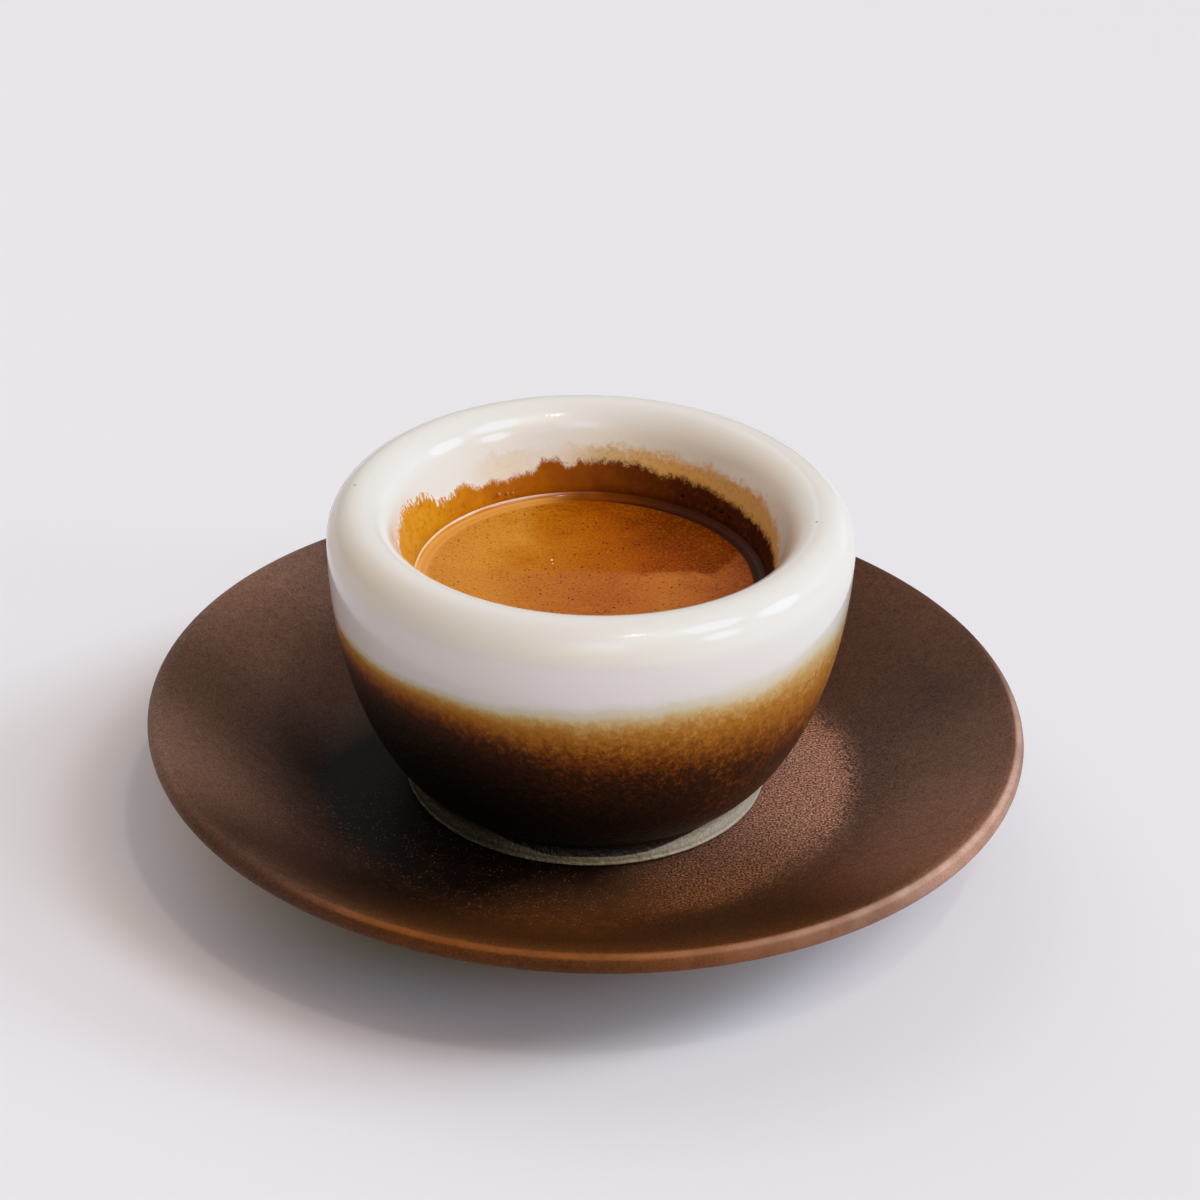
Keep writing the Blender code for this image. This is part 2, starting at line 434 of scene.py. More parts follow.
class Finish:
    """A finish under way: a material, its shader, and places on the piece.

    Places are in millimetres, with x to the right, y to the back and z up.
    """

    def __init__(self, name):
        self.material = bpy.data.materials.new(name)
        self.material.use_nodes = True
        self.tree = self.material.node_tree
        self.shader = self.tree.nodes["Principled BSDF"]
        coordinates = self.tree.nodes.new("ShaderNodeTexCoord")
        scale = self.tree.nodes.new("ShaderNodeVectorMath")
        scale.operation = "SCALE"
        scale.inputs["Scale"].default_value = 1.0 / MM
        self.tree.links.new(coordinates.outputs["Object"], scale.inputs[0])
        self.place = scale.outputs[0]
        split = self.tree.nodes.new("ShaderNodeSeparateXYZ")
        self.tree.links.new(self.place, split.inputs[0])
        self.x, self.y, self.z = split.outputs

    def feed(self, socket, value):
        """Sets a socket to a value, or links it to another socket."""
        if isinstance(value, bpy.types.NodeSocket):
            self.tree.links.new(value, socket)
        else:
            socket.default_value = value

    def reckon(self, operation, *values):
        """A Math node."""
        node = self.tree.nodes.new("ShaderNodeMath")
        node.operation = operation
        for socket, value in zip(node.inputs, values):
            self.feed(socket, value)
        return node.outputs[0]

    def plus(self, total, *others):
        """The values added up."""
        for value in others:
            total = self.reckon("ADD", total, value)
        return total

    def minus(self, value, less):
        """One value less another."""
        return self.reckon("SUBTRACT", value, less)

    def times(self, product, *others):
        """The values multiplied."""
        for value in others:
            product = self.reckon("MULTIPLY", product, value)
        return product

    def radius(self):
        """Distance from the axis."""
        return self.reckon("SQRT", self.plus(self.times(self.x, self.x), self.times(self.y, self.y)))

    def fade(self, value, start, end, low=0.0, high=1.0, soft=True):
        """Goes from low to high as value goes from start to end."""
        node = self.tree.nodes.new("ShaderNodeMapRange")
        node.interpolation_type = "SMOOTHSTEP" if soft else "LINEAR"
        for name, given in (
            ("Value", value), ("From Min", start), ("From Max", end), ("To Min", low), ("To Max", high),
        ):
            self.feed(node.inputs[name], given)
        return node.outputs[0]

    def swing(self, pattern, reach):
        """A noise pattern as a value from -reach to reach."""
        return self.fade(pattern, NOISE_LOW, NOISE_HIGH, -reach, reach, soft=False)

    def mix(self, amount, under, over):
        """One value over another."""
        node = self.tree.nodes.new("ShaderNodeMix")
        self.feed(node.inputs[0], amount)
        self.feed(node.inputs[2], under)
        self.feed(node.inputs[3], over)
        return node.outputs[0]

    def spot(self, x, y, z, core, reach):
        """A round patch about a point: 1 within core millimetres of it, 0 beyond reach."""
        node = self.tree.nodes.new("ShaderNodeVectorMath")
        node.operation = "DISTANCE"
        self.feed(node.inputs[0], self.place)
        node.inputs[1].default_value = (x, y, z)
        return self.fade(node.outputs["Value"], core, reach, 1.0, 0.0)

    def patches(self, spots, height, total=0.0):
        """Adds to total round patches at a height: each across, back, core, reach and strength."""
        for x, y, core, reach, more in spots:
            total = self.plus(total, self.times(self.spot(x, y, height, core, reach), more))
        return total

    def blend(self, amount, under, over):
        """One colour over another."""
        node = self.tree.nodes.new("ShaderNodeMix")
        node.data_type = "RGBA"
        self.feed(node.inputs["Factor"], amount)
        self.feed(node.inputs["A"], under)
        self.feed(node.inputs["B"], over)
        return node.outputs["Result"]

    def tint(self, colour, strength):
        """A colour made stronger or weaker by a value."""
        node = self.tree.nodes.new("ShaderNodeVectorMath")
        node.operation = "SCALE"
        self.feed(node.inputs[0], colour)
        self.feed(node.inputs["Scale"], strength)
        return node.outputs[0]

    def map_height(self, name):
        """The upward value of one of the piece's own maps."""
        node = self.tree.nodes.new("ShaderNodeUVMap")
        node.uv_map = name
        split = self.tree.nodes.new("ShaderNodeSeparateXYZ")
        self.feed(split.inputs[0], node.outputs[0])
        return split.outputs[1]

    def stretch(self, across, up):
        """Places scaled for a pattern that is longer one way than the other."""
        node = self.tree.nodes.new("ShaderNodeMapping")
        node.inputs["Scale"].default_value = (across, across, up)
        self.feed(node.inputs["Vector"], self.place)
        return node.outputs[0]

    def cloud(self, size, detail=3.0, roughness=0.5, place=None):
        """Soft noise whose blotches are about size millimetres across, from 0 to 1."""
        node = self.tree.nodes.new("ShaderNodeTexNoise")
        self.feed(node.inputs["Vector"], place or self.place)
        node.inputs["Scale"].default_value = 1.0 / size
        node.inputs["Detail"].default_value = detail
        node.inputs["Roughness"].default_value = roughness
        return node.outputs[0]

    def dots(self, spacing, radius, share):
        """Small round dots, 1 inside and 0 outside, in a share of the places for one."""
        node = self.tree.nodes.new("ShaderNodeTexVoronoi")
        self.feed(node.inputs["Vector"], self.place)
        node.inputs["Scale"].default_value = 1.0 / spacing
        chosen = self.tree.nodes.new("ShaderNodeSeparateColor")
        self.feed(chosen.inputs[0], node.outputs["Color"])
        size = self.fade(chosen.outputs["Red"], 1.0 - share, 1.0, 0.0, radius / spacing, soft=False)
        return self.fade(self.minus(node.outputs["Distance"], size), -DOT_EDGE, 0.0, 1.0, 0.0)

    def ramp(self, value, stops):
        """A colour that follows value through stops of (value, colour)."""
        low, high = stops[0][0], stops[-1][0]
        node = self.tree.nodes.new("ShaderNodeValToRGB")
        node.color_ramp.interpolation = "LINEAR"
        marks = node.color_ramp.elements
        while len(marks) < len(stops):
            marks.new(0.5)
        for mark, (at, colour) in zip(marks, stops):
            mark.position = (at - low) / (high - low)
            mark.color = colour
        self.feed(node.inputs[0], self.fade(value, low, high, soft=False))
        return node.outputs["Color"]

    def bump(self, height, depth):
        """Raises the finish by height, in millimetres when depth is 1."""
        node = self.tree.nodes.new("ShaderNodeBump")
        node.inputs["Strength"].default_value = 1.0
        node.inputs["Distance"].default_value = depth * MM
        self.feed(node.inputs["Height"], height)
        self.feed(self.shader.inputs["Normal"], node.outputs[0])

    def surface(self, colour, roughness, specular=0.5):
        """The material, with its colour, its roughness and how strongly it reflects."""
        self.feed(self.shader.inputs["Base Color"], colour)
        self.feed(self.shader.inputs["Roughness"], roughness)
        self.shader.inputs["Specular IOR Level"].default_value = specular
        return self.material


WHITE_GLAZE = shade(230, 225, 227)
WARM_WHITE_GLAZE = shade(221, 215, 208)
CREAM_GLAZE = shade(223, 217, 208)
# Painted light: a paler cream for the inside at the right, standing in for light thrown back from across the
# cup
LIT_CREAM_GLAZE = shade(236, 233, 227)

# The cup's glaze by how far it lies below the white, in millimetres at the front
BREAK_STOPS = (
    (-3.0, shade(224, 219, 215)), (-1.6, shade(219, 214, 206)), (-0.3, shade(213, 201, 174)),
    (0.3, shade(206, 179, 132)), (1.0, shade(195, 154, 92)), (2.3, shade(176, 117, 44)),
    (3.6, shade(161, 100, 26)), (5.0, shade(141, 79, 11)), (6.3, shade(115, 58, 4)),
    (7.8, shade(90, 43, 3)), (9.2, shade(64, 28, 3)), (10.6, shade(55, 24, 3)),
    (12.2, shade(49, 21, 3)), (14.0, shade(41, 18, 2)), (17.0, shade(27, 11, 2)), (26.0, shade(10, 5, 1)),
)
# Height at which the white ends, and how far into the brown the glaze gets at the left and at the right
BREAK_HEIGHT = 28.95
DARKEST = 26.0
DARKEST_RIGHT = 9.2
# Heights between which the white turns to cream towards the crest
CREST_START = 35.5
CREST_FULL = 38.5
# The inside: where it gives way to the outside at the crest, and how far down it goes
INSIDE_RADIUS = 29.8
INSIDE_END = 30.4
INSIDE_BOTTOM = LEVEL - 4.0

# Pinholes in the glaze of the rim: their places and size
PINHOLES = ((-31.8, 3.1, 50.9), (29.7, -3.6, 50.9))
PINHOLE_CORE = 0.1
PINHOLE_REACH = 0.3
PINHOLE_BROWN = shade(150, 132, 104)

# The cup's bare foot by place across, pale with painted light at the right and dark with painted shade at the
# left, its dirt, and the paler edge that it stands on
FOOT_LIGHT_AND_SHADE_STOPS = (
    (-24.0, shade(56, 52, 42)), (-12.0, shade(62, 57, 45)), (-5.0, shade(104, 94, 68)),
    (3.0, shade(136, 122, 86)), (12.0, shade(158, 146, 122)), (24.0, shade(170, 158, 140)),
)
FOOT_DIRT = shade(62, 54, 36)
FOOT_CHAMFER = shade(196, 180, 144)

# The dry stain above the coat, and how high above the level it ends in front and at the back
STAIN = shade(214, 156, 60)
PALE_STAIN = shade(203, 169, 108)
DARK_STAIN = shade(160, 104, 30)
STAIN_TOP_FRONT = 4.6
STAIN_TOP_BACK = 6.8

# How strong the saucer's brown is by radius
SAUCER_STRENGTH = (
    (0.0, 0.006), (27.0, 0.008), (31.0, 0.022), (36.0, 0.045), (44.0, 0.05),
    (51.0, 0.055), (55.0, 0.075), (58.0, 0.085), (59.4, 0.07), (60.5, 0.05),
)
WEAKEST = 0.005
# Painted sheen and shade: lighter patches of painted sheen on the well's edge, flanks and rim, and darker
# patches of painted shadow where the cup's shadow falls at the left of the well. Each is place across and
# back, core and reach in millimetres, and by how much
SHEEN_AND_SHADE_PATCHES = (
    (0.0, -37.0, 2.0, 15.0, 0.035), (46.0, -27.0, 4.0, 25.0, 0.15), (53.0, -6.0, 2.0, 20.0, 0.06),
    (-54.0, -12.0, 4.0, 25.0, 0.105), (-44.0, 26.0, 5.0, 30.0, 0.145), (-26.0, -38.0, 4.0, 18.0, -0.026),
    (-34.0, -7.0, 5.0, 21.0, -0.027), (-22.0, -26.0, 4.0, 18.0, -0.016), (40.0, 26.0, 2.0, 22.0, 0.02),
)
PATCH_HEIGHT = 15.0
# Tan dust with a painted sheen over it in the well at the right, in the same terms
DUST_AND_SHEEN_PATCHES = ((31.0, -1.0, 7.0, 27.0, 0.26), (18.0, -27.0, 3.0, 18.0, 0.11))

# Casts of the saucer's brown at full strength, as red, green and blue: rusty is its own colour, the grey and
# dusty ones tint the tan dust and painted sheen, and the highlight one is the painted highlight on the rim
RUSTY_CAST = (1.0, 0.31, 0.06, 1.0)
DUSTY_SHEEN_CAST = (1.0, 0.465, 0.29, 1.0)
GREY_SHEEN_CAST = (1.0, 0.53, 0.37, 1.0)
HIGHLIGHT_CAST = (1.0, 0.68, 0.53, 1.0)
# Pale grains on it: spacing and radius in millimetres, share of the places for one, and colour
GRAINS = (3.2, 0.13, 0.16, shade(184, 160, 126))

# Crema by place across: the part at the back, and the redder, paler part in front of it, a painted reflection
# of the bright room beyond the far rim
CREMA_STOPS = (
    (-22.0, shade(200, 134, 52)), (-13.0, shade(199, 134, 42)), (-6.0, shade(178, 102, 6)),
    (2.0, shade(160, 78, 1)), (10.0, shade(139, 59, 1)), (17.0, shade(121, 48, 1)), (24.0, shade(112, 42, 3)),
)
CREMA_REFLECTION_STOPS = (
    (-20.0, shade(190, 122, 44)), (-8.0, shade(181, 106, 38)), (2.0, shade(167, 88, 33)),
    (11.0, shade(188, 110, 45)), (17.0, shade(168, 90, 40)), (22.0, shade(142, 68, 32)),
)
DARK_CREMA = shade(88, 34, 2)
FAR_CREMA = shade(116, 50, 1)
# Painted light along the crema's edge at the left, over the groove there
LIT_CREMA_EDGE = shade(222, 158, 84)
FOAM_DARK = shade(96, 38, 2)
FOAM_LIGHT = shade(218, 148, 24)
CREASE_BROWN = shade(38, 12, 3)
# Specks and pores in it, in the same terms as the grains
SPECKS = ((0.55, 0.2, 0.6, shade(72, 27, 2)), (1.2, 0.2, 0.5, shade(70, 26, 2)))
PORES = (2.2, 0.26, 0.3, shade(58, 20, 3))

# Coffee on the wall by place across: thin and golden at the left and thick and dark at the right, with
# painted light at the left and painted shade at the right
COAT_LIGHT_AND_SHADE_STOPS = (
    (-26.0, shade(206, 142, 40)), (-21.5, shade(194, 128, 12)), (-14.0, shade(169, 95, 1)),
    (-4.5, shade(140, 70, 1)), (1.0, shade(114, 52, 1)), (6.0, shade(92, 40, 1)),
    (12.0, shade(72, 27, 1)), (26.0, shade(52, 17, 1)),
)
COAT_DARK = shade(120, 62, 4)
COAT_RUST = shade(196, 116, 10)
WET_PALE = shade(211, 146, 66)
# Painted shade for the wet edge at the right, and a painted highlight line for it at the left
WET_SHADE = shade(46, 16, 3)
WET_HIGHLIGHT = shade(246, 216, 190)
# Bubbles by place across: tan at the left, painted pale as glints in the middle, and dark at the right
BUBBLE_AND_GLINT_STOPS = (
    (-14.0, shade(178, 116, 60)), (-11.0, shade(178, 116, 60)), (-8.0, shade(240, 222, 200)),
    (2.0, shade(236, 214, 190)), (9.0, shade(26, 8, 3)),
)


def inner_wall(finish):
    """The inside of the cup above the shot: cream glaze, painted lighter at the right, with a thin dry stain
    over the coat.
    """
    rise = finish.minus(finish.z, CUP_BASE + LEVEL)
    top = finish.fade(finish.y, -4.0, 14.0, STAIN_TOP_FRONT, STAIN_TOP_BACK)
    waves = finish.swing(finish.cloud(1.8, 4.0, 0.65), 0.8)
    ragged = finish.plus(waves, finish.swing(finish.cloud(0.3), 0.3))
    film = finish.fade(finish.plus(finish.minus(rise, top), ragged), -0.9, 0.9, 1.0, 0.0)
    right = finish.fade(finish.x, -9.0, 3.0, 0.0, 0.9)
    left = finish.times(finish.fade(finish.x, -19.0, -13.0), finish.fade(finish.x, -11.0, -5.0, 0.34, 0.0))
    film = finish.times(film, finish.plus(right, left))
    dry = finish.blend(finish.fade(finish.x, 0.0, 12.0), PALE_STAIN, STAIN)
    dry = finish.blend(finish.fade(finish.cloud(0.5, 3.0, 0.6), 0.45, 0.7, 0.0, 0.4), dry, DARK_STAIN)
    # Painted light: the cream glaze paler towards the right of the inside
    glaze = finish.blend(finish.fade(finish.x, 10.0, 26.0), CREAM_GLAZE, LIT_CREAM_GLAZE)
    return finish.blend(film, glaze, dry), film


def glaze_break(finish):
    """How far into the brown the cup's glaze is, and the mottle in it."""
    left_tilt = finish.fade(finish.x, -32.0, -18.0, -0.9, 0.0)
    right_tilt = finish.fade(finish.x, 0.0, 32.0, 0.0, 0.85, soft=False)
    below = finish.minus(finish.plus(left_tilt, right_tilt, CUP_BASE + BREAK_HEIGHT), finish.z)

    grain = finish.stretch(1.0, 0.85)
    blotch = finish.swing(finish.cloud(1.1, 2.0, 0.5, grain), 1.0)
    fine = finish.swing(finish.cloud(0.45, 2.0, 0.5, grain), 0.9)
    strong = finish.plus(finish.fade(below, -1.0, 6.0, 0.12, 1.25), finish.fade(below, 6.0, 16.0, 0.0, 1.5))
    strong = finish.times(strong, finish.fade(finish.x, 4.0, 28.0, 1.0, 0.65))
    mottle = finish.times(finish.plus(blotch, fine), strong)

    left_side = finish.fade(finish.x, -24.0, -2.0, 1.9, 1.0, soft=False)
    right_side = finish.fade(finish.x, -2.0, 32.0, 1.0, 0.48, soft=False)
    depth = finish.times(below, left_side, right_side)
    depth = finish.reckon("MINIMUM", depth, finish.fade(finish.x, 2.0, 18.0, DARKEST, DARKEST_RIGHT))
    wander = finish.swing(finish.cloud(7.0, 2.0), 0.3)
    return finish.plus(depth, wander, mottle), mottle


def bare_foot(finish, height):
    """The colour of the unglazed foot, with painted light at the right and painted shade at the left, and
    where it is: it shows highest at the left.
    """
    edge = finish.plus(
        finish.fade(finish.x, -3.5, -21.5, 1.3, 4.2),
        finish.fade(finish.x, 6.5, 18.5, 0.0, 1.5),
        finish.swing(finish.cloud(2.5, 2.0), 0.06),
    )
    foot = finish.fade(finish.minus(height, edge), -0.08, 0.08, 1.0, 0.0)
    dirt = finish.fade(finish.cloud(0.6), 0.4, 0.7, 0.0, 0.2)
    # Painted light and shade: the foot pale at the right and dark at the left
    return finish.blend(dirt, finish.ramp(finish.x, FOOT_LIGHT_AND_SHADE_STOPS), FOOT_DIRT), foot


def cup_glaze():
    """White glaze over the rim and inside, which breaks through ochre into dark brown below."""
    finish = Finish("cup_white_glaze")
    depth, mottle = glaze_break(finish)
    white = finish.blend(finish.fade(finish.x, -5.0, 25.0), WHITE_GLAZE, WARM_WHITE_GLAZE)
    colour = finish.blend(finish.fade(depth, -0.9, -2.6), finish.ramp(depth, BREAK_STOPS), white)
    height = finish.minus(finish.z, CUP_BASE)
    colour = finish.blend(finish.fade(height, CREST_START, CREST_FULL), colour, CREAM_GLAZE)

    inside = finish.times(
        finish.fade(finish.radius(), INSIDE_RADIUS, INSIDE_END, 1.0, 0.0),
        finish.fade(height, INSIDE_BOTTOM, INSIDE_BOTTOM + 1.0),
    )
    wall, film = inner_wall(finish)
    colour = finish.blend(inside, colour, wall)

    bare, foot = bare_foot(finish, height)
    colour = finish.blend(foot, colour, bare)
    chamfer = finish.plus(height, finish.swing(finish.cloud(0.4), 0.12))
    colour = finish.blend(finish.fade(chamfer, 0.3, 0.46, 0.45, 0.0), colour, FOOT_CHAMFER)
    for place in PINHOLES:
        colour = finish.blend(finish.spot(*place, PINHOLE_CORE, PINHOLE_REACH), colour, PINHOLE_BROWN)

    rough = finish.fade(depth, -0.5, 5.0, 0.08, 0.5)
    rough = finish.mix(inside, rough, finish.fade(film, 0.0, 0.6, 0.08, 0.5))
    rough = finish.mix(foot, rough, 0.4)
    finish.bump(finish.times(mottle, 0.02), 1.0)
    return finish.surface(colour, rough, specular=0.38)


def saucer_dust_and_sheen(finish, radius):
    """The tan dust and painted sheen in the well at the right, which end where the flank starts."""
    dust_and_sheen = finish.patches(DUST_AND_SHEEN_PATCHES, WELL_HEIGHT)
    return finish.times(dust_and_sheen, finish.fade(radius, 33.5, 39.5, 1.0, 0.15))


def rim_line_and_highlight(finish, radius):
    """The pale line round the rim where the glaze is thin: thin at the left, and at the right a painted
    highlight that also reaches over the outside.
    """
    # Painted highlight: at the right the line reaches over the rim's outside
    outside = finish.fade(finish.x, -8.0, 30.0, 0.0, 0.6)
    return finish.times(
        finish.fade(radius, 58.5, 59.05),
        finish.fade(radius, 59.35, 59.7, 1.0, outside),
        finish.fade(finish.y, 24.0, -2.0),
        finish.fade(finish.x, -42.0, -26.0),
        finish.fade(finish.cloud(4.0, 2.0), 0.35, 0.6, 0.75, 1.0),
    )


def saucer_cast(finish, line):
    """The colour that the saucer's brown leans to: rusty in front, greyer at the left and dusty at the right
    where the tan dust and painted sheen lie, and pale with a painted highlight on its line.
    """
    front = finish.times(finish.fade(finish.y, -10.0, -42.0), finish.fade(finish.x, -42.0, -20.0, 0.4, 1.0))
    back_right = finish.times(finish.fade(finish.y, 4.0, 22.0), finish.fade(finish.x, 0.0, 20.0, 0.0, 0.7))
    rusty = finish.reckon("MAXIMUM", front, back_right)
    rusty = finish.times(rusty, finish.fade(finish.x, 24.0, 46.0, 1.0, 0.25))
    sheen_cast = finish.blend(finish.fade(finish.x, -24.0, 16.0), GREY_SHEEN_CAST, DUSTY_SHEEN_CAST)
    cast = finish.blend(rusty, sheen_cast, RUSTY_CAST)
    # Painted highlight: the rim's line turns pale towards the right
    return finish.blend(finish.times(line, finish.fade(finish.x, -4.0, 44.0, 0.0, 0.85)), cast, HIGHLIGHT_CAST)


def saucer_glaze():
    """Satin brown glaze, almost black in the well, dusted with tan at the right where it dried thin, with a
    painted sheen over that, painted sheen and shade in patches elsewhere, and a painted highlight on the
    rim's line.
    """
    finish = Finish("saucer_brown_glaze")
    grain = finish.cloud(0.3, 2.0, 0.6)
    coarse = finish.swing(finish.cloud(1.2, 3.0, 0.6), 1.0)
    patchy = finish.swing(finish.cloud(9.0, 3.0, 0.5), 1.2)
    radius = finish.radius()
    # Painted shade: the dark of the well reaches further out at the left, where the cup's shadow falls
    place = finish.plus(radius, patchy, finish.fade(finish.x, -26.0, 6.0, -3.5, 0.0))
    strength = finish.ramp(place, [(at, (level, level, level, 1.0)) for at, level in SAUCER_STRENGTH])
    # Painted sheen and painted shade in patches
    strength = finish.patches(SHEEN_AND_SHADE_PATCHES, PATCH_HEIGHT, strength)
    dust_and_sheen = saucer_dust_and_sheen(finish, radius)
    soft_grain = finish.fade(grain, NOISE_LOW, NOISE_HIGH, 0.72, 1.28, soft=False)
    tan_grain = finish.fade(grain, 0.42, 0.74, 0.3, 2.9, soft=False)
    speckle = finish.mix(finish.fade(dust_and_sheen, 0.0, 0.12), soft_grain, tan_grain)
    strength = finish.times(finish.plus(strength, dust_and_sheen), finish.plus(speckle, finish.times(coarse, 0.14)))
    strength = finish.reckon("MAXIMUM", strength, WEAKEST)
    spray = finish.times(
        finish.fade(grain, 0.58, 0.68),
        finish.fade(coarse, -0.2, 0.8),
        finish.fade(finish.y, 5.0, -25.0, 0.0, 0.14),
        finish.fade(radius, 50.0, 42.0),
    )
    line = rim_line_and_highlight(finish, radius)
    # Painted highlight along the rim's line, stronger towards the right
    rim_highlight = finish.times(line, finish.fade(finish.x, -10.0, 46.0, 0.12, 0.3))
    strength = finish.plus(strength, spray, rim_highlight)

    colour = finish.tint(saucer_cast(finish, line), strength)
    *pale_grain, tan = GRAINS
    colour = finish.blend(finish.times(finish.dots(*pale_grain), 0.75), colour, tan)
    finish.bump(grain, 0.03)
    return finish.surface(colour, finish.fade(grain, NOISE_LOW, NOISE_HIGH, 0.6, 0.42), specular=0.08)


def crease(finish, start, end):
    """The dark line round the crema, from start to end radius, at the right only."""
    return finish.times(finish.fade(finish.radius(), start, end), finish.fade(finish.x, -2.0, 10.0, 0.0, 0.9))


def crema():
    """Crema: golden at the left, amber in the middle and redder at the right, with pin specks, a painted
    reflection in front and painted light along its edge at the left.
    """
    finish = Finish("espresso_crema")
    across = finish.plus(finish.x, finish.swing(finish.cloud(6.0, 3.0, 0.55), 3.6))
    far_right = finish.times(finish.fade(finish.y, 6.0, 19.0), finish.fade(across, 0.0, 13.0), 0.75)
    colour = finish.blend(far_right, finish.ramp(across, CREMA_STOPS), DARK_CREMA)
    far = finish.times(finish.fade(finish.y, 12.0, 22.0, 0.0, 0.35), finish.fade(across, -14.0, 2.0))
    colour = finish.blend(far, colour, FAR_CREMA)

    # Painted reflection: in front of a wandering line the crema takes the colours of the bright room seen in
    # it
    wander = finish.swing(finish.cloud(2.2, 3.0), 0.9)
    edge = finish.plus(finish.fade(finish.x, 16.0, 23.0, 2.4, 11.0), wander)
    front = finish.fade(finish.minus(finish.y, edge), -1.1, 1.1, 1.0, 0.0)
    front = finish.times(front, finish.fade(finish.x, -18.0, -4.0, 0.35, 1.0))
    colour = finish.blend(front, colour, finish.ramp(across, CREMA_REFLECTION_STOPS))

    foam = finish.swing(finish.cloud(0.42, 4.0, 0.7), 1.0)
    colour = finish.blend(finish.fade(foam, 0.0, 1.0, 0.0, 0.5), colour, FOAM_DARK)
    colour = finish.blend(finish.fade(foam, 0.0, -1.0, 0.0, 0.3), colour, FOAM_LIGHT)
    thick = finish.fade(finish.cloud(4.0, 2.0), 0.4, 0.6, 0.6, 1.0)
    thick = finish.times(thick, finish.fade(finish.x, -16.0, -2.0, 0.55, 1.0))
    for *speck, brown in SPECKS:
        colour = finish.blend(finish.times(finish.dots(*speck), thick), colour, brown)
    *pore, brown = PORES
    colour = finish.blend(finish.times(finish.dots(*pore), 0.85), colour, brown)

    colour = finish.blend(crease(finish, 21.9, 22.1), colour, CREASE_BROWN)
    # Painted light: the crema's edge paler at the left
    lit_edge = finish.fade(finish.radius(), 21.4, 22.1)
    lit_side = finish.times(lit_edge, finish.fade(finish.x, -2.0, -9.0, 0.0, 0.5))
    finish.bump(foam, 0.015)
    return finish.surface(finish.blend(lit_side, colour, LIT_CREMA_EDGE), 0.3, specular=0.03)


def wet_edge():
    """The clear coffee that climbs from the crema to the wall, with a painted highlight line along it at the
    left and painted shade at the right.
    """
    finish = Finish("wet_coffee")
    across = finish.plus(finish.x, finish.swing(finish.cloud(3.0, 2.0), 2.0))
    left = finish.fade(finish.x, -2.0, -9.0)
    radius = finish.radius()
    crema_side = finish.times(finish.fade(radius, 23.5, 23.1), left)
    colour = finish.blend(crema_side, finish.ramp(across, COAT_LIGHT_AND_SHADE_STOPS), WET_PALE)
    colour = finish.blend(crease(finish, 22.55, 22.35), colour, CREASE_BROWN)
    # Painted shade: the wet edge darker towards the right
    colour = finish.blend(finish.fade(finish.x, 2.0, 14.0, 0.0, 0.5), colour, WET_SHADE)
    # Painted highlight: a pale line along the wet edge at the left
    line = finish.times(finish.fade(radius, 23.45, 23.65), finish.fade(radius, 23.8, 24.0, 1.0, 0.0), left)
    line = finish.times(line, 0.6)
    rough = finish.fade(finish.x, 3.0, 13.0, 0.09, 0.5)
    return finish.surface(finish.blend(line, colour, WET_HIGHLIGHT), rough, specular=0.15)


def coffee_coat():
    """The coat on the wall, golden at the left and dark at the right, partly painted light and shade, worn
    through at its top edge.
    """
    finish = Finish("coffee_coat")
    across = finish.plus(finish.x, finish.swing(finish.cloud(2.4, 3.0), 2.4))
    tone = finish.cloud(0.8, 3.0, 0.6)
    colour = finish.blend(finish.fade(tone, 0.5, 0.72, 0.0, 0.4), finish.ramp(across, COAT_LIGHT_AND_SHADE_STOPS), COAT_DARK)

    hairs = finish.swing(finish.cloud(0.34, 2.0, 0.6, finish.stretch(1.0, 0.16)), 1.0)
    below = finish.plus(
        finish.map_height(COAT_MAP),
        finish.swing(finish.cloud(0.9, 4.0, 0.65), 0.4),
        finish.swing(finish.cloud(0.25, 2.0, 0.6), 0.22),
        finish.times(hairs, finish.fade(finish.x, -17.0, -22.0, 0.08, 1.1)),
    )
    rusty = finish.times(finish.fade(below, 0.9, 1.8, 0.2, 0.0), finish.fade(finish.x, -8.0, 2.0, 1.0, 0.0))
    colour = finish.blend(rusty, colour, COAT_RUST)
    bare = finish.fade(below, 0.5, 1.5, 1.0, 0.0)
    wall = inner_wall(finish)[0]
    finish.bump(tone, 0.03)
    return finish.surface(finish.blend(bare, colour, wall), finish.mix(bare, 0.45, 0.3), specular=0.07)


def bubble_skin():
    """Bubbles that are tan at the left and dark at the right, like the coffee round them, and painted pale as
    glints on the crema.
    """
    finish = Finish("coffee_bubbles")
    rough = finish.fade(finish.x, 2.0, 9.0, 0.08, 0.7)
    return finish.surface(finish.ramp(finish.x, BUBBLE_AND_GLINT_STOPS), rough, specular=0.15)


# Pieces


def make_saucer():
    """The dish, whose rim leans a little to the right above its level well."""

    def lean(radius):
        """The slope of the dish's ring of this radius."""
        return LEAN_DROP / SAUCER_RADIUS * smoothstep(radius, LEAN_START_RADIUS, SAUCER_RADIUS)

    piece = smooth(throw("saucer_dish", saucer_rings(), SAUCER_SIDES, lean=lean))
    return dress(piece, saucer_glaze(), "saucer_brown_glaze", "saucer")


def make_cup():
    """The cup with its rolled rim and grooved foot."""
    piece = smooth(throw("cup_body", cup_rings(), CUP_SIDES, lift=CUP_BASE))
    return dress(piece, cup_glaze(), "cup_white_glaze", "cup")


def make_drink():
    """The shot up to its crema."""
    piece = smooth(throw("espresso_drink", drink_rings(), CUP_SIDES, lift=CUP_BASE))
    return dress(piece, crema(), "espresso_crema", "espresso")


def make_wet_edge():
    """The wet edge of the shot, a hoop between the crema and the wall."""
    piece = smooth(throw("wet_edge", wet_rings(), CUP_SIDES, lift=CUP_BASE, hoop=True))
    return dress(piece, wet_edge(), "espresso_crema")


